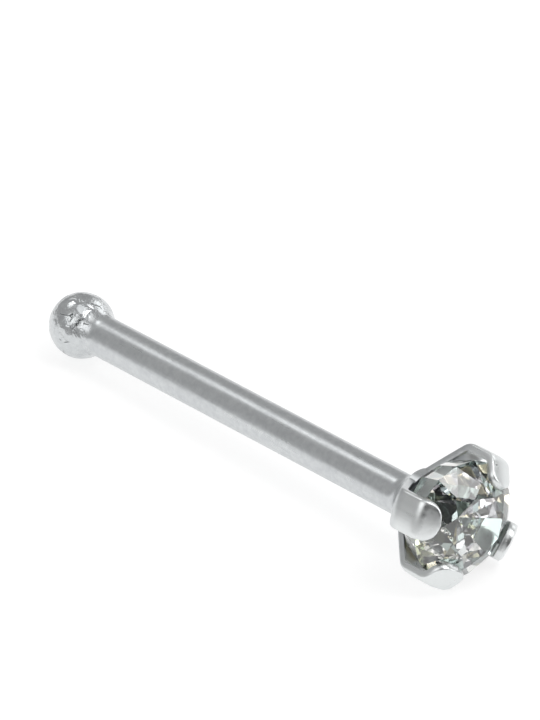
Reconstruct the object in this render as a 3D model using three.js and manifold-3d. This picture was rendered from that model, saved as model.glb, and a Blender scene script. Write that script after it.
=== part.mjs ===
import * as THREE from "three";
import { mergeVertices } from "three/addons/utils/BufferGeometryUtils.js";
import Module from "manifold-3d";

// A straight nose stud: a silver wire post with a ball end and a four-claw cup that holds a round stone.
// Millimetres, +Z up. The stud is built along its own axis, with z = 0 where the post ends and the
// cup begins and the stone towards +z, and is then laid down on its ball and two of its claws.

// Driving dimensions.
const WIRE_DIAMETER = 0.64;
const WEARABLE_LENGTH = 7.1;
const BALL_DIAMETER = 1.02;
const NECK_FILLET = 0.5;

const STONE_DIAMETER = 1.84;
const BELLY_HEIGHT = 0.31;
const BELLY_ANGLE = 70;
const GIRDLE_THICKNESS = 0.04;
const TABLE_SHARE = 0.54;
const CROWN_ANGLE = 38;
const CROWN_HALF_ANGLE = 43;
const STAR_ANGLE = 25;
const PAVILION_ANGLE = 41;
const CULET_RADIUS = 0.02;

// Each claw's place round the axis in degrees, its width, and how near to the axis its tip comes. The
// second is narrower. The third was set askew and stops short.
const CLAWS = [
  { turn: 0, width: 0.6, reach: 0.66 },
  { turn: 90, width: 0.42, reach: 0.66 },
  { turn: 196, width: 0.6, reach: 0.74 },
  { turn: 270, width: 0.6, reach: 0.66 },
];
const CLAW_THICKNESS = 0.13;
const CLAW_BEND = 0.14;
const SEAT_GAP = 0.022;
const CROTCH_RADIUS = 0.08;
const HEAD_OFFSET = 0.09;
const CLAWS_DOWN_TURN = 45;

const ROUND_SEGMENTS = 40;
const GIRDLE_SEGMENTS = 96;
const ARC_STEPS = 8;
const BEND_STEPS = 3;
const WELD_DISTANCE = 1e-5;
const STEEPEST_TILT = 15;
const TILT_TOLERANCE = 1e-9;

const SILVER_COLOUR = 0xc9cbcd;
const STONE_COLOUR = 0xe9eef0;

// Sizes that follow from the driving ones.
const degrees = THREE.MathUtils.degToRad;
const wireRadius = WIRE_DIAMETER / 2;
const ballRadius = BALL_DIAMETER / 2;
const ballCentre = -(WEARABLE_LENGTH + ballRadius);
const stoneRadius = STONE_DIAMETER / 2;
const tableRadius = stoneRadius * TABLE_SHARE;
const crownSlope = Math.tan(degrees(CROWN_ANGLE));
const pavilionSlope = Math.tan(degrees(PAVILION_ANGLE));
const clawOutside = SEAT_GAP + CLAW_THICKNESS;

// The cup's outer cone starts at the edge of the post and runs parallel to the pavilion. That sets the
// height where the pavilion would reach the full radius, and from it those of the girdle, culet and table.
const seatDrop = clawOutside / Math.cos(degrees(PAVILION_ANGLE));
const seatEdge = (stoneRadius - wireRadius) * pavilionSlope + seatDrop;
const girdleBottom = seatEdge + BELLY_HEIGHT;
const girdleTop = girdleBottom + GIRDLE_THICKNESS;
const mainCount = 8;
const mainRadius = stoneRadius * Math.cos(Math.PI / mainCount);
const culetPoint = seatEdge - mainRadius * pavilionSlope;
const tableHeight = girdleTop + (stoneRadius - tableRadius) * crownSlope;
const longestReach = Math.min(...CLAWS.map((claw) => claw.reach));
const crownBulge = longestReach * (1 - Math.cos(Math.PI / mainCount)) * crownSlope;
const clearOfClaws = 2 * tableHeight;

const wasm = await Module();
wasm.setup();

function solid(geometry) {
  const bare = new THREE.BufferGeometry();
  bare.setAttribute("position", geometry.getAttribute("position"));
  bare.setIndex(geometry.getIndex());
  const merged = mergeVertices(bare, WELD_DISTANCE);
  const mesh = new wasm.Mesh({
    numProp: 3,
    vertProperties: new Float32Array(merged.getAttribute("position").array),
    triVerts: new Uint32Array(merged.getIndex().array),
  });
  return new wasm.Manifold(mesh);
}

function geometryOf(manifold) {
  const mesh = manifold.getMesh();
  const geometry = new THREE.BufferGeometry();
  geometry.setAttribute("position", new THREE.BufferAttribute(new Float32Array(mesh.vertProperties), 3));
  geometry.setIndex(new THREE.BufferAttribute(new Uint32Array(mesh.triVerts), 1));
  const flat = geometry.toNonIndexed();
  flat.computeVertexNormals();
  return flat;
}

function upright(geometry) {
  return geometry.rotateX(Math.PI / 2);
}

// A rounded corner in a path. In every path x is the radius and y is the height on the stud's axis.
function corner(path, from, at, to, radius) {
  const back = from.clone().sub(at).setLength(radius);
  const on = to.clone().sub(at).setLength(radius);
  path.lineTo(at.x + back.x, at.y + back.y);
  path.quadraticCurveTo(at.x, at.y, at.x + on.x, at.y + on.y);
}

// A point of the stone's outline moved out by a distance: on the pavilion, at the two edges of the
// girdle, and on the crown.
function pavilionPoint(radius, out) {
  const height = seatEdge - (stoneRadius - radius) * pavilionSlope;
  return new THREE.Vector2(radius, height - out / Math.cos(degrees(PAVILION_ANGLE)));
}

function girdleBack(out) {
  const drop = out * Math.tan(degrees(90 - PAVILION_ANGLE) / 2);
  return new THREE.Vector2(stoneRadius + out, seatEdge - drop);
}

function girdleFront(out) {
  const rise = out * Math.tan(degrees(90 - CROWN_ANGLE) / 2);
  return new THREE.Vector2(stoneRadius + out, girdleTop + crownBulge + rise);
}

function crownPoint(radius, out) {
  const height = girdleTop + crownBulge + (stoneRadius - radius) * crownSlope;
  return new THREE.Vector2(radius, height + out / Math.cos(degrees(CROWN_ANGLE)));
}

function stepsAlong(curve) {
  if (curve.isLineCurve) {
    return 1;
  }
  return curve.isEllipseCurve ? ARC_STEPS : BEND_STEPS;
}

function turned(path) {
  const pointsOf = (curve, index) => curve.getPoints(stepsAlong(curve)).slice(index ? 1 : 0);
  const points = path.curves.flatMap(pointsOf);
  return solid(upright(new THREE.LatheGeometry(points, ROUND_SEGMENTS)));
}

function ballAndPost() {
  const neckReach = ballRadius + NECK_FILLET;
  const neckRadius = wireRadius + NECK_FILLET;
  const neckRise = Math.sqrt(neckReach ** 2 - neckRadius ** 2);
  const neckTurn = Math.atan2(neckRise, neckRadius);
  const path = new THREE.Path();
  path.moveTo(0, ballCentre - ballRadius);
  path.absarc(0, ballCentre, ballRadius, -Math.PI / 2, neckTurn, false);
  path.absarc(neckRadius, ballCentre + neckRise, NECK_FILLET, Math.PI + neckTurn, Math.PI, true);
  path.lineTo(wireRadius, CLAW_THICKNESS / 2);
  path.lineTo(0, CLAW_THICKNESS / 2);
  return turned(path);
}

// The cup before its claws are parted, and the room inside it that takes the stone.
const foldEnd = longestReach - CLAW_THICKNESS;

function cup() {
  const root = pavilionPoint(wireRadius, clawOutside);
  const back = girdleBack(clawOutside);
  const front = girdleFront(clawOutside);
  const tip = crownPoint(foldEnd, clawOutside);
  const path = new THREE.Path();
  path.moveTo(0, root.y);
  path.lineTo(root.x, root.y);
  corner(path, root, back, front, CLAW_BEND);
  corner(path, back, front, tip, CLAW_BEND);
  path.lineTo(tip.x, tip.y);
  path.lineTo(0, tip.y);
  return turned(path);
}

function seat() {
  const back = [pavilionPoint(0, SEAT_GAP), girdleBack(SEAT_GAP)];
  const front = [girdleFront(SEAT_GAP), crownPoint(foldEnd, SEAT_GAP)];
  const path = new THREE.Path([...back, ...front]);
  path.lineTo(foldEnd, clearOfClaws);
  path.lineTo(0, clearOfClaws);
  return turned(path);
}

// The gap between two claws, seen along the axis: a corner with a rounded crotch and a side along each claw.
function gapBetweenClaws(claw, next) {
  const spread = degrees(next.turn - claw.turn + (next.turn > claw.turn ? 0 : 360));
  const half = claw.width / 2;
  const far = 2 * STONE_DIAMETER;
  const along = new THREE.Vector2(1, 0);
  const alongNext = new THREE.Vector2(Math.cos(spread), Math.sin(spread));
  const crotchReach = (half * Math.cos(spread) + next.width / 2) / Math.sin(spread);
  const crotch = new THREE.Vector2(crotchReach, half);
  const on = (way, distance) => crotch.clone().addScaledVector(way, distance);
  const shape = new THREE.Shape([on(along, far), on(alongNext, far), on(alongNext, CROTCH_RADIUS)]);
  const arcEnd = on(along, CROTCH_RADIUS);
  shape.quadraticCurveTo(crotch.x, crotch.y, arcEnd.x, arcEnd.y);
  const depth = clearOfClaws - culetPoint;
  const prism = new THREE.ExtrudeGeometry(shape, { depth, bevelEnabled: false, curveSegments: BEND_STEPS });
  return solid(prism.translate(0, 0, culetPoint).rotateZ(degrees(claw.turn)));
}

// What is trimmed off the folded claws: all of the crown side but one round-ended tongue for each claw.
function tongue(claw) {
  const half = claw.width / 2;
  const hole = new THREE.Path();
  hole.absarc(claw.reach + half, 0, half, Math.PI / 2, Math.PI * 1.5, false);
  hole.lineTo(STONE_DIAMETER, -half);
  hole.lineTo(STONE_DIAMETER, half);
  const axis = new THREE.Vector2(0, 0);
  const points = hole.getPoints(2 * ARC_STEPS);
  return new THREE.Path(points.map((point) => point.rotateAround(axis, degrees(claw.turn))));
}

function tipTrim() {
  const side = 2 * STONE_DIAMETER;
  const corners = [[-side, -side], [side, -side], [side, side], [-side, side]];
  const shape = new THREE.Shape(corners.map(([x, y]) => new THREE.Vector2(x, y)));
  shape.holes = CLAWS.map(tongue);
  const depth = clearOfClaws - girdleTop;
  const prism = new THREE.ExtrudeGeometry(shape, { depth, bevelEnabled: false });
  return solid(prism.translate(0, 0, girdleTop));
}

// The head is soldered on a little off the axis of the post, towards its second claw.
const headPlace = [0, HEAD_OFFSET, 0];

function silverStud() {
  const gaps = CLAWS.map((claw, index) => gapBetweenClaws(claw, CLAWS[(index + 1) % CLAWS.length]));
  const cuts = [seat(), tipTrim(), ...gaps];
  const setting = cuts.reduce((metal, cut) => metal.subtract(cut), cup());
  const room = seat().translate(headPlace);
  return geometryOf(ballAndPost().subtract(room).add(setting.translate(headPlace)));
}

// Facets of the stone, each family as: how many, the turn of the first in steps of the whole circle,
// the angle to the girdle plane, and a point (radius, height) that the facet passes through.
const halfCount = 2 * mainCount;
const halfTurn = Math.PI / halfCount;
const halfRadius = stoneRadius * Math.cos(halfTurn);
const starRadius = tableRadius * Math.cos(Math.PI / mainCount);
const crownFacets = [
  { count: mainCount, turn: 0, angle: CROWN_ANGLE, radius: stoneRadius, height: girdleTop },
  { count: halfCount, turn: halfTurn, angle: CROWN_HALF_ANGLE, radius: halfRadius, height: girdleTop },
  { count: mainCount, turn: 2 * halfTurn, angle: STAR_ANGLE, radius: starRadius, height: tableHeight },
];
const pavilionFacets = [
  { count: mainCount, turn: 0, angle: PAVILION_ANGLE, radius: mainRadius, height: seatEdge },
  { count: halfCount, turn: halfTurn, angle: BELLY_ANGLE, radius: halfRadius, height: girdleBottom },
];

function facetCut(family, index, side) {
  const size = 4 * STONE_DIAMETER;
  const block = new THREE.BoxGeometry(size, size, size).translate(0, 0, (side * size) / 2);
  block.rotateY(side * degrees(family.angle));
  block.translate(family.radius, 0, family.height);
  return solid(block.rotateZ(family.turn + (index * 2 * Math.PI) / family.count));
}

function stone() {
  const bottom = culetPoint + CULET_RADIUS * pavilionSlope;
  const height = tableHeight - bottom;
  const blank = new THREE.CylinderGeometry(stoneRadius, stoneRadius, height, GIRDLE_SEGMENTS);
  let gem = solid(upright(blank).translate(0, 0, bottom + height / 2));
  for (const [families, side] of [[crownFacets, 1], [pavilionFacets, -1]]) {
    for (const family of families) {
      for (let index = 0; index < family.count; index += 1) {
        gem = gem.subtract(facetCut(family, index, side));
      }
    }
  }
  return geometryOf(gem.translate(headPlace));
}

// Laying down: two claws point down, and the axis rises from the ball to the head until both touch the
// ground.
const clawsDown = new THREE.Matrix4().makeRotationZ(degrees(CLAWS_DOWN_TURN));
const axisAlongX = new THREE.Matrix4().makeRotationY(Math.PI / 2);

function lowest(points, raised, wanted) {
  let low = Infinity;
  const moved = new THREE.Vector3();
  for (let index = 0; index < points.count; index += 1) {
    moved.fromBufferAttribute(points, index);
    if (wanted(moved)) {
      low = Math.min(low, moved.applyMatrix4(raised).z);
    }
  }
  return low;
}

function lying(tilt) {
  const raise = new THREE.Matrix4().makeRotationY(-tilt);
  return raise.multiply(axisAlongX).multiply(clawsDown);
}

function restingTilt(points) {
  let low = 0;
  let high = degrees(STEEPEST_TILT);
  while (high - low > TILT_TOLERANCE) {
    const tilt = (low + high) / 2;
    const placed = lying(tilt);
    const ballLow = lowest(points, placed, (point) => point.z < ballCentre / 2);
    const headLow = lowest(points, placed, (point) => point.z > ballCentre / 2);
    if (headLow < ballLow) {
      low = tilt;
    } else {
      high = tilt;
    }
  }
  return low;
}

function named(name, geometry, material) {
  const mesh = new THREE.Mesh(geometry, material);
  mesh.name = name;
  return mesh;
}

const silver = new THREE.MeshStandardMaterial({ color: SILVER_COLOUR, metalness: 1, roughness: 0.25 });
const clear = new THREE.MeshStandardMaterial({ color: STONE_COLOUR, metalness: 0, roughness: 0.05 });
const metalGeometry = silverStud();
const metalPoints = metalGeometry.getAttribute("position");
const placed = lying(restingTilt(metalPoints));
const meshes = [named("silver_stud", metalGeometry, silver), named("stone", stone(), clear)];
meshes.forEach((mesh) => mesh.geometry.applyMatrix4(placed));

const box = new THREE.Box3();
meshes.forEach((mesh) => box.expandByObject(mesh));
const middle = box.getCenter(new THREE.Vector3());
meshes.forEach((mesh) => mesh.geometry.translate(-middle.x, -middle.y, -box.min.z));

const stud = new THREE.Group();
stud.name = "nose_stud";
stud.add(...meshes);

export default stud;
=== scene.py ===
import math

import bmesh
import bpy
from mathutils import Matrix, Vector, noise


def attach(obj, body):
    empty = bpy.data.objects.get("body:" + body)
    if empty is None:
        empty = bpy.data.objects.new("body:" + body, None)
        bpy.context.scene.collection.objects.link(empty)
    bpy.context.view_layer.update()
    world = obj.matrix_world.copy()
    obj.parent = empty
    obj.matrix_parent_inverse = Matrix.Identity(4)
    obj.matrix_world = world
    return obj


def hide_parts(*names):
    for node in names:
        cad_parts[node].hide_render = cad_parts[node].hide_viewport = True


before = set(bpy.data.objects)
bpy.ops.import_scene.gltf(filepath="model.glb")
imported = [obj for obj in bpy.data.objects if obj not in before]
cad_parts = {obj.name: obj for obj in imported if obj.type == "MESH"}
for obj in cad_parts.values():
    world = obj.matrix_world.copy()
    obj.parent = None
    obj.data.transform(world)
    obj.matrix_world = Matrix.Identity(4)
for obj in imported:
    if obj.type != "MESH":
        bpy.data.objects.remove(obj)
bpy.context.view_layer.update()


# Post with its ball end: a straight length of drawn silver wire. Its end was melted until it drew up
# into a ball, so the ball flows into the wire in a smooth neck, and its skin is a little uneven.
MM = 0.001
WIRE_RADIUS = 0.32
BALL_RADIUS = 0.51
BALL_HEIGHT = -7.61

# The stud is drawn in millimetres along its own axis, with z = 0 where the post ends and the stone
# towards +z. Then it is laid down on its ball and two claws, where the CAD model lies.
REST_TILT = math.radians(2.506)
REST_TURN = math.radians(45)
BALL_AT_REST = Vector((-4.308, -0.0115, 0.51))
LAID_DOWN = (
    Matrix.Scale(MM, 4)
    @ Matrix.Translation(BALL_AT_REST)
    @ Matrix.Rotation(math.pi / 2 - REST_TILT, 4, "Y")
    @ Matrix.Rotation(REST_TURN, 4, "Z")
    @ Matrix.Translation((0, 0, -BALL_HEIGHT))
)

NECK_FILLET = 0.5
ARC_STEPS = 40
AROUND = 128
WELD_DISTANCE = 1e-5
POST_END_HEIGHT = -0.02
POST_END_DISH = -0.13


def arc(centre, radius, start, stop):
    """Points (radius, height) of an arc in the plane through the axis."""
    turns = [start + (stop - start) * step / ARC_STEPS for step in range(ARC_STEPS + 1)]
    return [(centre[0] + radius * math.cos(turn), centre[1] + radius * math.sin(turn)) for turn in turns]


def add_turned(metal, outline, centre=(0, 0, 0)):
    """Adds the solid that an outline from axis to axis makes when it turns about an axis along z."""
    turned = bmesh.new()
    corners = [turned.verts.new((radius, 0, height)) for radius, height in outline]
    edges = [turned.edges.new(pair) for pair in zip(corners, corners[1:])]
    bmesh.ops.spin(
        turned,
        geom=corners + edges,
        cent=(0, 0, 0),
        axis=(0, 0, 1),
        angle=2 * math.pi,
        steps=AROUND,
        use_merge=True,
    )
    bmesh.ops.remove_doubles(turned, verts=turned.verts, dist=WELD_DISTANCE)
    bmesh.ops.recalc_face_normals(turned, faces=turned.faces)
    bmesh.ops.translate(turned, verts=turned.verts, vec=centre)
    mesh = bpy.data.meshes.new("turned")
    turned.to_mesh(mesh)
    turned.free()
    metal.from_mesh(mesh)


neck_radius = WIRE_RADIUS + NECK_FILLET
neck_rise = math.sqrt((BALL_RADIUS + NECK_FILLET) ** 2 - neck_radius**2)
neck_turn = math.atan2(neck_rise, neck_radius)
ball_outline = arc((0, BALL_HEIGHT), BALL_RADIUS, -math.pi / 2, neck_turn)
neck_outline = arc((neck_radius, BALL_HEIGHT + neck_rise), NECK_FILLET, math.pi + neck_turn, math.pi)
wire_end = [(WIRE_RADIUS, POST_END_HEIGHT), (0, POST_END_DISH)]
silver = bmesh.new()
add_turned(silver, ball_outline + neck_outline[1:] + wire_end)


# Sterling silver, drawn to wire, tumbled to a satin and left brighter where the ball was melted. It gives
# soft grey bands with faint lines along the wire, sharp broken lights on the ball, and dark hairlines
# and pits at its neck and on the claws where polish did not reach.
DRAWN_LINE_LENGTH = 1.2
DRAWN_LINE_WIDTH = 0.05
MOTTLE_SIZE = 0.09
WRINKLE_SIZE = 0.16
CRACK_SPACING = 0.3
CRACKS_FROM = -4.45
CRACKS_FULL = -4.35
PIT_SIZE = 0.16
BALL_SKIN_START = -4.0
BALL_SKIN_END = -3.7
CLAWS_START = 3.9
CLAWS_FULL = 4.1
PITS_FROM = 0.4


def linear(hex_colour):
    """An sRGB hex colour as the linear colour that a shader takes."""
    parts = [int(hex_colour[start : start + 2], 16) / 255 for start in (1, 3, 5)]
    return [part / 12.92 if part <= 0.04045 else ((part + 0.055) / 1.055) ** 2.4 for part in parts] + [1]


def per_metre(size):
    """How often a pattern of this size in millimetres repeats in a metre."""
    return 1 / (size * MM)


def node(tree, kind, inputs=None, **settings):
    """Adds a node, sets its properties, and sets or links its inputs by name or number."""
    made = tree.nodes.new(kind)
    for name, value in settings.items():
        setattr(made, name, value)
    for key, value in (inputs or {}).items():
        if isinstance(value, bpy.types.NodeSocket):
            tree.links.new(value, made.inputs[key])
        else:
            made.inputs[key].default_value = value
    return made


sterling = bpy.data.materials.new("sterling_silver_satin")
sterling.use_nodes = True
satin_tree = sterling.node_tree
satin_tree.nodes.clear()
coords = node(satin_tree, "ShaderNodeTexCoord").outputs["Object"]
spot = node(satin_tree, "ShaderNodeSeparateXYZ", {0: coords}).outputs
along_wire = spot["X"]
ball_skin = node(
    satin_tree,
    "ShaderNodeMapRange",
    {"Value": along_wire, "From Min": BALL_SKIN_END * MM, "From Max": BALL_SKIN_START * MM},
    interpolation_type="SMOOTHSTEP",
).outputs[0]
line_scale = (per_metre(DRAWN_LINE_LENGTH), per_metre(DRAWN_LINE_WIDTH), per_metre(DRAWN_LINE_WIDTH))
stretched = node(satin_tree, "ShaderNodeMapping", {"Vector": coords, "Scale": line_scale}).outputs[0]
drawn = node(satin_tree, "ShaderNodeTexNoise", {"Vector": stretched, "Scale": 1, "Detail": 3}).outputs["Fac"]
mottle = node(
    satin_tree,
    "ShaderNodeTexNoise",
    {"Vector": coords, "Scale": per_metre(MOTTLE_SIZE), "Detail": 4, "Roughness": 0.6},
).outputs["Fac"]
wrinkle = node(
    satin_tree,
    "ShaderNodeTexNoise",
    {"Vector": coords, "Scale": per_metre(WRINKLE_SIZE), "Detail": 3, "Distortion": 0.8},
).outputs["Fac"]

# Hairlines: the edges of a cell pattern, kept on the ball and its neck and broken up by the wrinkles.
cells = node(
    satin_tree,
    "ShaderNodeTexVoronoi",
    {"Vector": coords, "Scale": per_metre(CRACK_SPACING)},
    feature="DISTANCE_TO_EDGE",
).outputs["Distance"]
hairline = node(
    satin_tree, "ShaderNodeMapRange", {"Value": cells, "From Min": 0.03, "From Max": 0.012}
).outputs[0]
broken = node(
    satin_tree, "ShaderNodeMapRange", {"Value": wrinkle, "From Min": 0.54, "From Max": 0.64}
).outputs[0]
near_neck = node(
    satin_tree,
    "ShaderNodeMapRange",
    {"Value": along_wire, "From Min": CRACKS_FROM * MM, "From Max": CRACKS_FULL * MM, "To Max": hairline},
).outputs[0]
on_ball = node(satin_tree, "ShaderNodeMath", {0: near_neck, 1: ball_skin}, operation="MULTIPLY").outputs[0]
cracks = node(satin_tree, "ShaderNodeMath", {0: on_ball, 1: broken}, operation="MULTIPLY").outputs[0]

# Pits: the lowest spots of a noise on the far claws.
pit_noise = node(
    satin_tree, "ShaderNodeTexNoise", {"Vector": coords, "Scale": per_metre(PIT_SIZE), "Detail": 2}
).outputs["Fac"]
pit_spots = node(
    satin_tree, "ShaderNodeMapRange", {"Value": pit_noise, "From Min": 0.33, "From Max": 0.27}
).outputs[0]
on_claws = node(
    satin_tree,
    "ShaderNodeMapRange",
    {"Value": along_wire, "From Min": CLAWS_START * MM, "From Max": CLAWS_FULL * MM},
).outputs[0]
far_side = node(
    satin_tree, "ShaderNodeMath", {0: spot["Y"], 1: PITS_FROM * MM}, operation="GREATER_THAN"
).outputs[0]
far_spots = node(satin_tree, "ShaderNodeMath", {0: pit_spots, 1: far_side}, operation="MULTIPLY").outputs[0]
pits = node(satin_tree, "ShaderNodeMath", {0: far_spots, 1: on_claws}, operation="MULTIPLY").outputs[0]
marks = node(satin_tree, "ShaderNodeMath", {0: cracks, 1: pits}, operation="MAXIMUM").outputs[0]

satin = node(satin_tree, "ShaderNodeValToRGB", {0: mottle})
satin.color_ramp.elements[0].position = 0.3
satin.color_ramp.elements[0].color = linear("#C3C6C8")
satin.color_ramp.elements[1].position = 0.7
satin.color_ramp.elements[1].color = linear("#D3D6D7")
# Painted light: the claws get a brighter silver than the wire, a painted highlight for the extra light they
# catch.
claws_painted_brighter = node(
    satin_tree,
    "ShaderNodeMix",
    {"Factor": on_claws, 6: satin.outputs[0], 7: linear("#E0E3E3")},
    data_type="RGBA",
).outputs[2]
colour = node(
    satin_tree,
    "ShaderNodeMix",
    {"Factor": marks, 6: claws_painted_brighter, 7: linear("#3B4041")},
    data_type="RGBA",
).outputs[2]
satin_gloss = node(
    satin_tree,
    "ShaderNodeMapRange",
    {"Value": drawn, "From Min": 0.3, "From Max": 0.7, "To Min": 0.27, "To Max": 0.37},
).outputs[0]
ball_gloss = node(
    satin_tree,
    "ShaderNodeMapRange",
    {"Value": mottle, "From Min": 0.3, "From Max": 0.7, "To Min": 0.13, "To Max": 0.25},
).outputs[0]
gloss = node(satin_tree, "ShaderNodeMix", {"Factor": ball_skin, 2: satin_gloss, 3: ball_gloss}).outputs[0]
wrinkles = node(satin_tree, "ShaderNodeMath", {0: wrinkle, 1: ball_skin}, operation="MULTIPLY").outputs[0]
lines = node(
    satin_tree, "ShaderNodeBump", {"Height": drawn, "Strength": 0.25, "Distance": 0.006 * MM}
).outputs[0]
skin = node(
    satin_tree,
    "ShaderNodeBump",
    {"Height": wrinkles, "Strength": 0.75, "Distance": 0.03 * MM, "Normal": lines},
).outputs[0]
sunk = node(
    satin_tree,
    "ShaderNodeBump",
    {"Height": marks, "Strength": 0.6, "Distance": 0.01 * MM, "Normal": skin},
    invert=True,
).outputs[0]
metal = node(
    satin_tree,
    "ShaderNodeBsdfPrincipled",
    {"Base Color": colour, "Metallic": 1, "Roughness": gloss, "Normal": sunk},
)
node(satin_tree, "ShaderNodeOutputMaterial", {"Surface": metal.outputs[0]})


# Claws: one cup stamped from silver sheet, with four wide round-ended claws folded up round the stone
# and over its edge. The third was pushed over askew and stops short. The cup is soldered to the post.
STONE_RADIUS = 0.92
PAVILION_SLOPE = math.tan(math.radians(41))
CROWN_SLOPE = math.tan(math.radians(38))
SEAT_EDGE = 0.723
CROWN_EDGE = 1.112
SEAT_GAP = 0.022
SHEET_THICKNESS = 0.13
CLAW_BEND = 0.14
CLAW_ROOT = 0.36
CLAWS = {
    "low far": {"turn": 0, "half_width": 0.3, "reach": 0.66},
    "high far": {"turn": 90, "half_width": 0.21, "reach": 0.66},
    "high near": {"turn": 196, "half_width": 0.3, "reach": 0.74},
    "low near": {"turn": 270, "half_width": 0.3, "reach": 0.66},
}
HEAD_PLACE = Vector((0, 0.09, 0))
FOLD_LINES = ("Root", "Back", "Front", "Tip")
BEND_STEPS = 8
CLAW_ROWS = 48
CLAW_AROUND = 25
EDGE_ROUNDING = 0.3


def pavilion_height(radius, out):
    """Height of a line along the pavilion, moved out from it."""
    return SEAT_EDGE - (STONE_RADIUS - radius) * PAVILION_SLOPE - out * math.hypot(1, PAVILION_SLOPE)


def crown_height(radius, out):
    """Height of a line along the crown, moved out from it."""
    return CROWN_EDGE + (STONE_RADIUS - radius) * CROWN_SLOPE + out * math.hypot(1, CROWN_SLOPE)


def folded_path(tree, given):
    """The claw's middle line: straight runs between its fold lines, with each fold rounded."""
    line = node(tree, "GeometryNodeMeshLine", {"Count": len(FOLD_LINES)}).outputs[0]
    which = node(tree, "GeometryNodeInputIndex").outputs[0]
    corner = node(tree, "GeometryNodeIndexSwitch", data_type="VECTOR")
    while len(corner.index_switch_items) < len(FOLD_LINES):
        corner.index_switch_items.new()
    tree.links.new(which, corner.inputs["Index"])
    for spot, name in enumerate(FOLD_LINES):
        tree.links.new(given[name], corner.inputs[spot + 1])
    bent = node(
        tree,
        "GeometryNodeSetPosition",
        {"Geometry": line, "Position": corner.outputs[0]},
    ).outputs[0]
    curve = node(tree, "GeometryNodeMeshToCurve", {"Mesh": bent}).outputs[0]
    return node(
        tree,
        "GeometryNodeFilletCurve",
        {"Curve": curve, "Radius": given["Bend"], "Count": BEND_STEPS},
        mode="POLY",
    ).outputs[0]


def strip_sizes(tree, given, along, length):
    """Half width and half thickness along a claw: closed at the root, a half circle at the tip."""
    full = given["Half Width"]
    run = node(tree, "ShaderNodeMath", {0: along, 1: length}, operation="MULTIPLY").outputs[0]
    tip_start = node(tree, "ShaderNodeMath", {0: length, 1: full}, operation="SUBTRACT").outputs[0]
    end = node(
        tree,
        "ShaderNodeMapRange",
        {"Value": run, "From Min": tip_start, "From Max": length},
    ).outputs[0]
    end_squared = node(tree, "ShaderNodeMath", {0: end, 1: end}, operation="MULTIPLY").outputs[0]
    left = node(tree, "ShaderNodeMath", {0: 1.0, 1: end_squared}, operation="SUBTRACT").outputs[0]
    narrowed = node(tree, "ShaderNodeMath", {0: left}, operation="SQRT").outputs[0]
    first_row = 0.5 / CLAW_ROWS
    begun = node(tree, "ShaderNodeMath", {0: along, 1: first_row}, operation="GREATER_THAN").outputs[0]
    tapered = node(tree, "ShaderNodeMath", {0: full, 1: narrowed}, operation="MULTIPLY").outputs[0]
    half_width = node(tree, "ShaderNodeMath", {0: tapered, 1: begun}, operation="MULTIPLY").outputs[0]
    thick = given["Half Thickness"]
    half_thickness = node(tree, "ShaderNodeMath", {0: thick, 1: begun}, operation="MULTIPLY").outputs[0]
    return half_width, half_thickness


def rounded_side(tree, round_turn, wave, half_size):
    """How far a point of the section lies to one side: a circle's wave, squared off to a rounded edge."""
    swing = node(tree, "ShaderNodeMath", {0: round_turn}, operation=wave).outputs[0]
    size = node(tree, "ShaderNodeMath", {0: swing}, operation="ABSOLUTE").outputs[0]
    eased = node(tree, "ShaderNodeMath", {0: size, 1: EDGE_ROUNDING}, operation="POWER").outputs[0]
    side = node(tree, "ShaderNodeMath", {0: swing}, operation="SIGN").outputs[0]
    signed = node(tree, "ShaderNodeMath", {0: eased, 1: side}, operation="MULTIPLY").outputs[0]
    return node(tree, "ShaderNodeMath", {0: half_size, 1: signed}, operation="MULTIPLY").outputs[0]


def section_place(tree, on_path, across, out):
    """Where a point of the section lies: set off from the path and wrapped round the stone's axis."""
    centre = node(tree, "ShaderNodeSeparateXYZ", {0: on_path.outputs["Position"]}).outputs
    heading = node(tree, "ShaderNodeSeparateXYZ", {0: on_path.outputs["Tangent"]}).outputs
    outward = node(tree, "ShaderNodeMath", {0: out, 1: heading["Z"]}, operation="MULTIPLY").outputs[0]
    down = node(tree, "ShaderNodeMath", {0: out, 1: heading["X"]}, operation="MULTIPLY").outputs[0]
    radius = node(tree, "ShaderNodeMath", {0: centre["X"], 1: outward}, operation="ADD").outputs[0]
    height = node(tree, "ShaderNodeMath", {0: centre["Z"], 1: down}, operation="SUBTRACT").outputs[0]
    radius_squared = node(tree, "ShaderNodeMath", {0: radius, 1: radius}, operation="MULTIPLY").outputs[0]
    across_squared = node(tree, "ShaderNodeMath", {0: across, 1: across}, operation="MULTIPLY").outputs[0]
    wrapped = node(
        tree,
        "ShaderNodeMath",
        {0: radius_squared, 1: across_squared},
        operation="SUBTRACT",
    ).outputs[0]
    kept = node(tree, "ShaderNodeMath", {0: wrapped, 1: 0.0}, operation="MAXIMUM").outputs[0]
    reach = node(tree, "ShaderNodeMath", {0: kept}, operation="SQRT").outputs[0]
    return node(tree, "ShaderNodeCombineXYZ", {"X": reach, "Y": across, "Z": height}).outputs[0]


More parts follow.
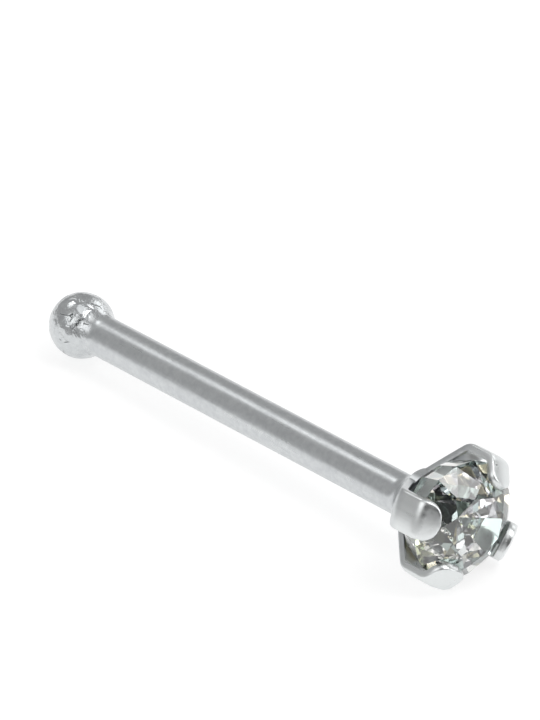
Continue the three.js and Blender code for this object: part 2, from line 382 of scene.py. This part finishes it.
def claw_tree():
    """One claw: a flat strip with rounded edges that follows a folded path and ends in a half circle."""
    tree = bpy.data.node_groups.new("folded_claw", "GeometryNodeTree")
    tree.interface.new_socket("Geometry", in_out="OUTPUT", socket_type="NodeSocketGeometry")
    for name in (*FOLD_LINES, "Place"):
        tree.interface.new_socket(name, in_out="INPUT", socket_type="NodeSocketVector")
    for name in ("Half Width", "Half Thickness", "Bend", "Turn"):
        tree.interface.new_socket(name, in_out="INPUT", socket_type="NodeSocketFloat")
    tree.interface.new_socket("Material", in_out="INPUT", socket_type="NodeSocketMaterial")
    given = node(tree, "NodeGroupInput").outputs
    path = folded_path(tree, given)
    length = node(tree, "GeometryNodeCurveLength", {"Curve": path}).outputs[0]

    # A sheet of points a unit wide: one way runs along the strip, the other way round its section.
    sheet = node(
        tree,
        "GeometryNodeMeshGrid",
        {"Size X": 1, "Size Y": 1, "Vertices X": CLAW_ROWS, "Vertices Y": CLAW_AROUND},
    ).outputs["Mesh"]
    position = node(tree, "GeometryNodeInputPosition").outputs[0]
    spot = node(tree, "ShaderNodeSeparateXYZ", {0: position}).outputs
    along = node(tree, "ShaderNodeMath", {0: spot["X"], 1: 0.5}, operation="ADD").outputs[0]
    share = node(tree, "ShaderNodeMath", {0: spot["Y"], 1: 0.5}, operation="ADD").outputs[0]
    round_turn = node(tree, "ShaderNodeMath", {0: share, 1: 2 * math.pi}, operation="MULTIPLY").outputs[0]

    # Each point is moved to its place on the strip, and the strip to its place round the stone.
    half_width, half_thickness = strip_sizes(tree, given, along, length)
    across = rounded_side(tree, round_turn, "COSINE", half_width)
    out = rounded_side(tree, round_turn, "SINE", half_thickness)
    on_path = node(tree, "GeometryNodeSampleCurve", {"Curves": path, "Factor": along}, mode="FACTOR")
    place = section_place(tree, on_path, across, out)
    strip = node(tree, "GeometryNodeSetPosition", {"Geometry": sheet, "Position": place}).outputs[0]
    closed = node(
        tree,
        "GeometryNodeMergeByDistance",
        {"Geometry": strip, "Distance": WELD_DISTANCE},
    ).outputs[0]
    turned = node(tree, "ShaderNodeCombineXYZ", {"Z": given["Turn"]}).outputs[0]
    placed = node(
        tree,
        "GeometryNodeTransform",
        {"Geometry": closed, "Translation": given["Place"], "Rotation": turned},
    ).outputs[0]
    real = node(tree, "GeometryNodeRealizeInstances", {"Geometry": placed}).outputs[0]
    finished = node(
        tree,
        "GeometryNodeSetMaterial",
        {"Geometry": real, "Material": given["Material"]},
    ).outputs[0]
    node(tree, "NodeGroupOutput", {"Geometry": finished})
    return tree


def grown(maker, values):
    """The plain mesh that a geometry node tree makes from these values."""
    holder = bpy.data.objects.new("holder", bpy.data.meshes.new("holder"))
    bpy.context.scene.collection.objects.link(holder)
    modifier = holder.modifiers.new("nodes", "NODES")
    modifier.node_group = maker
    for item in maker.interface.items_tree:
        if item.name in values:
            modifier[item.identifier] = values[item.name]
    bpy.context.view_layer.update()
    seen = holder.evaluated_get(bpy.context.evaluated_depsgraph_get())
    mesh = bpy.data.meshes.new_from_object(seen)
    bpy.data.objects.remove(holder)
    return mesh


middle = SEAT_GAP + SHEET_THICKNESS / 2
claw_back = (
    STONE_RADIUS + middle,
    0,
    SEAT_EDGE - middle * math.tan((math.pi / 2 - math.atan(PAVILION_SLOPE)) / 2),
)
claw_front = (
    STONE_RADIUS + middle,
    0,
    CROWN_EDGE + middle * math.tan((math.pi / 2 - math.atan(CROWN_SLOPE)) / 2),
)
claw_maker = claw_tree()
for claw in CLAWS.values():
    claw_mesh = grown(
        claw_maker,
        {
            "Root": (CLAW_ROOT, 0, pavilion_height(CLAW_ROOT, middle)),
            "Back": claw_back,
            "Front": claw_front,
            "Tip": (claw["reach"], 0, crown_height(claw["reach"], middle)),
            "Place": HEAD_PLACE,
            "Half Width": claw["half_width"],
            "Half Thickness": SHEET_THICKNESS / 2,
            "Bend": CLAW_BEND,
            "Turn": math.radians(claw["turn"]),
            "Material": sterling,
        },
    )
    silver.from_mesh(claw_mesh)


# Cup middle and solder: the round middle of the silver cup, where the claws meet, and the silver solder
# that fills the corner between it and the end of the wire, so that cup and post are one piece of metal.
CUP_RADIUS = 0.46
SOLDER_FILLET = 0.35
SOLDER_START = -0.2
SOLDER_TOP = 0.16
cup_outline = [
    (0, pavilion_height(0, SEAT_GAP + SHEET_THICKNESS)),
    (CUP_RADIUS, pavilion_height(CUP_RADIUS, SEAT_GAP + SHEET_THICKNESS)),
    (CUP_RADIUS, pavilion_height(CUP_RADIUS, SEAT_GAP)),
    (0, pavilion_height(0, SEAT_GAP)),
]
add_turned(silver, cup_outline, HEAD_PLACE)
fillet_end = math.pi / 2 + math.atan(PAVILION_SLOPE)
solder_curve = arc((WIRE_RADIUS + SOLDER_FILLET, SOLDER_START), SOLDER_FILLET, math.pi, fillet_end)
solder_outline = [
    (0, SOLDER_START),
    *solder_curve,
    (solder_curve[-1][0], SOLDER_TOP),
    (WIRE_RADIUS, POST_END_HEIGHT),
    (0, POST_END_DISH),
]
add_turned(silver, solder_outline)


# The finished silver: all the pieces as one mesh, with the ball's skin made a little uneven.
stud_mesh = bpy.data.meshes.new("silver_stud_finished")
bmesh.ops.recalc_face_normals(silver, faces=silver.faces)
silver.to_mesh(stud_mesh)
silver.free()

BALL_UNEVEN = 0.006
BALL_LUMP = 0.22
UNEVEN_TO = BALL_HEIGHT + 0.7
UNEVEN_FADE = 0.4
SHARP_ANGLE = math.radians(40)
for vert in stud_mesh.vertices:
    nearness = min(max((UNEVEN_TO - vert.co.z) / UNEVEN_FADE, 0), 1)
    lump = noise.noise(vert.co / BALL_LUMP)
    vert.co += vert.normal * lump * BALL_UNEVEN * nearness
stud_mesh.transform(LAID_DOWN)
stud_mesh.polygons.foreach_set("use_smooth", [True] * len(stud_mesh.polygons))
stud_mesh.set_sharp_from_angle(angle=SHARP_ANGLE)
stud = bpy.data.objects.new("silver_stud_finished", stud_mesh)
bpy.context.scene.collection.objects.link(stud)
stud_mesh.materials.clear()
stud_mesh.materials.append(sterling)
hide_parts("silver_stud")
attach(stud, "root")


# Stone: a round clear cubic zirconia, cut with flat facets and polished. It sits in the cup and the four
# claws hold it by its edge. Its shape is the CAD model's own.
FIRE_SIZE = 0.75
POLISH_SIZE = 0.03
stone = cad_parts["stone"]

# Cubic zirconia bends light strongly, so facets flash white or go black, and it splits light into small
# patches of teal, straw and violet. The patches are drawn as cells of faint colour.
zirconia = bpy.data.materials.new("cubic_zirconia_polished")
zirconia.use_nodes = True
stone_tree = zirconia.node_tree
stone_tree.nodes.clear()
coords = node(stone_tree, "ShaderNodeTexCoord").outputs["Object"]
patches = node(
    stone_tree, "ShaderNodeTexVoronoi", {"Vector": coords, "Scale": per_metre(FIRE_SIZE)}
).outputs["Color"]
chance = node(stone_tree, "ShaderNodeSeparateXYZ", {0: patches}).outputs["X"]
fire = node(stone_tree, "ShaderNodeValToRGB", {0: chance})
fire.color_ramp.interpolation = "CONSTANT"
fire.color_ramp.elements[0].color = linear("#FFFFFF")
fire.color_ramp.elements[1].position = 0.7
fire.color_ramp.elements[1].color = linear("#F2FAF8")
for position, hex_colour in ((0.8, "#FCFAF2"), (0.9, "#FAF5FB")):
    element = fire.color_ramp.elements.new(position)
    element.color = linear(hex_colour)
polish = node(
    stone_tree, "ShaderNodeTexNoise", {"Vector": coords, "Scale": per_metre(POLISH_SIZE), "Detail": 2}
).outputs["Fac"]
polish_gloss = node(
    stone_tree, "ShaderNodeMapRange", {"Value": polish, "To Min": 0.0, "To Max": 0.02}
).outputs[0]
crystal = node(
    stone_tree,
    "ShaderNodeBsdfPrincipled",
    {"Base Color": fire.outputs[0], "Roughness": polish_gloss, "IOR": 2.16, "Transmission Weight": 1},
)
node(stone_tree, "ShaderNodeOutputMaterial", {"Surface": crystal.outputs[0]})
stone.data.materials.clear()
stone.data.materials.append(zirconia)

# The back of the stone is silvered, so that it throws light forward. The silvering lies on the
# facets that face back into the cup, and mirrors through the stone with a slight unevenness. Its colour
# has light and shade painted in, given here by eighths of a turn: painted bright flashes, some tinted teal
# or straw, and painted dark facets lie side by side.
SILVERED_SLOPE = 0.6
FACET_SHARE = 1 / 8
PAINTED_DARK_FACET = "#7C8082"
PAINTED_FACET_TONES = {2: "#EBE2C4", 3: "#FFFFFF", 4: "#DCEBE8", 5: "#F6F4F8", 6: "#F0F0F0", 7: PAINTED_DARK_FACET}
STUD_AXIS = (LAID_DOWN.to_3x3() @ Vector((0, 0, 1))).normalized()
silvering = bpy.data.materials.new("mirror_silvering")
silvering.use_nodes = True
mirror_tree = silvering.node_tree
mirror_tree.nodes.clear()
coords = node(mirror_tree, "ShaderNodeTexCoord").outputs["Object"]
unevenness = node(
    mirror_tree, "ShaderNodeTexNoise", {"Vector": coords, "Scale": per_metre(POLISH_SIZE), "Detail": 2}
).outputs["Fac"]
head_centre = LAID_DOWN @ HEAD_PLACE
about_axis = node(
    mirror_tree,
    "ShaderNodeMapping",
    {"Vector": coords, "Location": head_centre, "Rotation": LAID_DOWN.to_euler()},
    vector_type="TEXTURE",
).outputs[0]
round_stone = node(
    mirror_tree, "ShaderNodeTexGradient", {"Vector": about_axis}, gradient_type="RADIAL"
).outputs["Fac"]
# Painted light and shade: each eighth of a turn round the stone gets a bright flash or a dark facet in the
# mirror's colour.
painted_facet_light_and_shade = node(mirror_tree, "ShaderNodeValToRGB", {0: round_stone})
painted_facet_light_and_shade.color_ramp.interpolation = "CONSTANT"
painted_facet_light_and_shade.color_ramp.elements[0].color = linear(PAINTED_DARK_FACET)
painted_facet_light_and_shade.color_ramp.elements[1].position = 1 - FACET_SHARE / 2
painted_facet_light_and_shade.color_ramp.elements[1].color = linear(PAINTED_DARK_FACET)
for facet, hex_colour in PAINTED_FACET_TONES.items():
    element = painted_facet_light_and_shade.color_ramp.elements.new((facet - 0.5) * FACET_SHARE)
    element.color = linear(hex_colour)
mirror_gloss = node(
    mirror_tree, "ShaderNodeMapRange", {"Value": unevenness, "To Min": 0.0, "To Max": 0.04}
).outputs[0]
mirror = node(
    mirror_tree,
    "ShaderNodeBsdfPrincipled",
    {"Base Color": painted_facet_light_and_shade.outputs[0], "Metallic": 1, "Roughness": mirror_gloss},
)
node(mirror_tree, "ShaderNodeOutputMaterial", {"Surface": mirror.outputs[0]})
stone.data.materials.append(silvering)
for facet in stone.data.polygons:
    if facet.normal.dot(STUD_AXIS) < -SILVERED_SLOPE:
        facet.material_index = 1


# Floor: a sheet of white opal acrylic lit from below, so that shadows on it are faint. It is clear when
# seen from underneath.
FLOOR_HALF = 0.6
floor_mesh = bpy.data.meshes.new("floor")
floor_corners = [(x, y, 0) for x, y in ((-1, -1), (1, -1), (1, 1), (-1, 1))]
floor_mesh.from_pydata([Vector(corner) * FLOOR_HALF for corner in floor_corners], [], [(0, 1, 2, 3)])
floor = bpy.data.objects.new("floor", floor_mesh)
bpy.context.scene.collection.objects.link(floor)
acrylic = bpy.data.materials.new("opal_acrylic")
acrylic.use_nodes = True
opal_tree = acrylic.node_tree
opal_tree.nodes.clear()
opal = node(
    opal_tree,
    "ShaderNodeBsdfPrincipled",
    {
        "Base Color": linear("#A0A0A0"),
        "Roughness": 0.9,
        "Specular IOR Level": 0.1,
        "Emission Color": linear("#FFFFFF"),
        "Emission Strength": 0.76,
    },
)
clear = node(opal_tree, "ShaderNodeBsdfTransparent")
underneath = node(opal_tree, "ShaderNodeNewGeometry").outputs["Backfacing"]
side = node(opal_tree, "ShaderNodeMixShader", {0: underneath, 1: opal.outputs[0], 2: clear.outputs[0]})
node(opal_tree, "ShaderNodeOutputMaterial", {"Surface": side.outputs[0]})
floor_mesh.materials.append(acrylic)


# Camera: the photograph's own viewing angle.
AZIMUTH = math.radians(52.11)
ELEVATION = math.radians(33.28)
ROLL = math.radians(-5.27)
DISTANCE = 130
LOOK_AT = Vector((0, 0, 0.7))
SHIFT = Vector((0.058, 0.924))
LENS = 437.06
forward = -Vector(
    (
        math.sin(AZIMUTH) * math.cos(ELEVATION),
        -math.cos(AZIMUTH) * math.cos(ELEVATION),
        math.sin(ELEVATION),
    )
)
level = Vector((math.cos(AZIMUTH), math.sin(AZIMUTH), 0))
upright = level.cross(forward)
right = level * math.cos(ROLL) + upright * math.sin(ROLL)
up = upright * math.cos(ROLL) - level * math.sin(ROLL)
eye = LOOK_AT - forward * DISTANCE + right * SHIFT.x + up * SHIFT.y
lens = bpy.data.cameras.new("camera")
lens.lens = LENS
lens.sensor_width = 36
lens.clip_start = 0.001
lens.clip_end = 10
camera = bpy.data.objects.new("camera", lens)
camera.matrix_world = Matrix.Translation(eye * MM) @ Matrix((right, up, -forward)).transposed().to_4x4()
bpy.context.scene.collection.objects.link(camera)
bpy.context.scene.camera = camera


# Light: a dim tent with soft white panels round the stud, and dark gaps where a panel's level is below zero.
TENT_LEVEL = 0.56
DARKEST_LEVEL = 0.02
PANEL_EDGE = 4
LIGHT_BOUNCES = 24
PANELS = [
    {"azimuth": 172, "elevation": 53, "half_angle": 8, "level": 3.0},
    {"azimuth": 28, "elevation": 58, "half_angle": 15, "level": 4.5},
    {"azimuth": 40, "elevation": 21, "half_angle": 13, "level": 3.5},
    {"azimuth": 96, "elevation": 24, "half_angle": 18, "level": 1.4},
    {"azimuth": -90, "elevation": 45, "half_angle": 20, "level": 1.3},
    {"azimuth": 52, "elevation": 86, "half_angle": 14, "level": 0.9},
    {"azimuth": -40, "elevation": 36, "half_angle": 23, "level": -0.55},
    {"azimuth": 4, "elevation": 22, "half_angle": 18, "level": -0.55},
    {"azimuth": 66, "elevation": 36, "half_angle": 9, "level": -0.55},
]
world = bpy.data.worlds.new("light_tent")
bpy.context.scene.world = world
world.use_nodes = True
tent_tree = world.node_tree
tent_tree.nodes.clear()
way = node(tent_tree, "ShaderNodeTexCoord").outputs["Generated"]
total = TENT_LEVEL
for panel in PANELS:
    swing = math.radians(panel["azimuth"])
    rise = math.radians(panel["elevation"])
    direction = (math.cos(swing) * math.cos(rise), math.sin(swing) * math.cos(rise), math.sin(rise))
    facing = node(
        tent_tree, "ShaderNodeVectorMath", {0: way, 1: direction}, operation="DOT_PRODUCT"
    ).outputs["Value"]
    light = node(
        tent_tree,
        "ShaderNodeMapRange",
        {
            "Value": facing,
            "From Min": math.cos(math.radians(panel["half_angle"] + PANEL_EDGE)),
            "From Max": math.cos(math.radians(panel["half_angle"] - PANEL_EDGE)),
            "To Max": panel["level"],
        },
        interpolation_type="SMOOTHSTEP",
    ).outputs[0]
    total = node(tent_tree, "ShaderNodeMath", {0: total, 1: light}, operation="ADD").outputs[0]
least = node(tent_tree, "ShaderNodeMath", {0: total, 1: DARKEST_LEVEL}, operation="MAXIMUM").outputs[0]
glow = node(tent_tree, "ShaderNodeBackground", {"Strength": least})
node(tent_tree, "ShaderNodeOutputWorld", {"Surface": glow.outputs[0]})
bpy.context.scene.view_settings.view_transform = "Standard"
bpy.context.scene.cycles.max_bounces = LIGHT_BOUNCES
bpy.context.scene.cycles.glossy_bounces = LIGHT_BOUNCES
bpy.context.scene.cycles.transmission_bounces = LIGHT_BOUNCES
